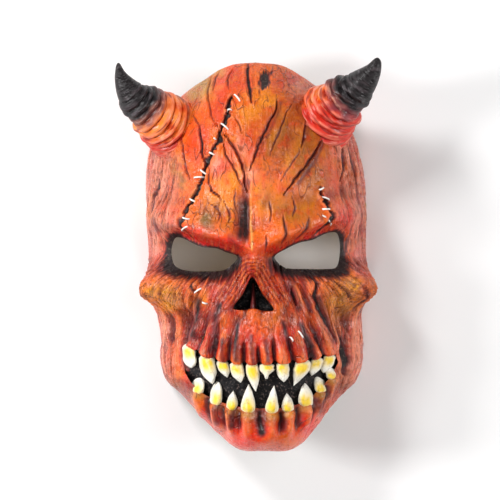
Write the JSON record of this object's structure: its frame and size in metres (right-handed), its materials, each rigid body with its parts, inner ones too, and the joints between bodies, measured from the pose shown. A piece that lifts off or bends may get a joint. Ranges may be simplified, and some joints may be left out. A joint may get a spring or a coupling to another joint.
{
  "type": "costume mask",
  "caption": "Horned demon skull mask for the front of the face, cast as one hollow latex shell with bared teeth and open eye holes, lying on its rim.",
  "frame": {"origin": "middle of the footprint, on the plane that the rim lies on", "axes": "+X across the face to the wearer's left, +Y from the chin towards the horns, +Z out of the face"},
  "size_m": [0.1836, 0.273, 0.0982],
  "materials": {
    "painted_latex": "hand-painted satin"
  },
  "bodies": {
    "root": {"mask": "painted_latex"}
  },
  "joints": []
}
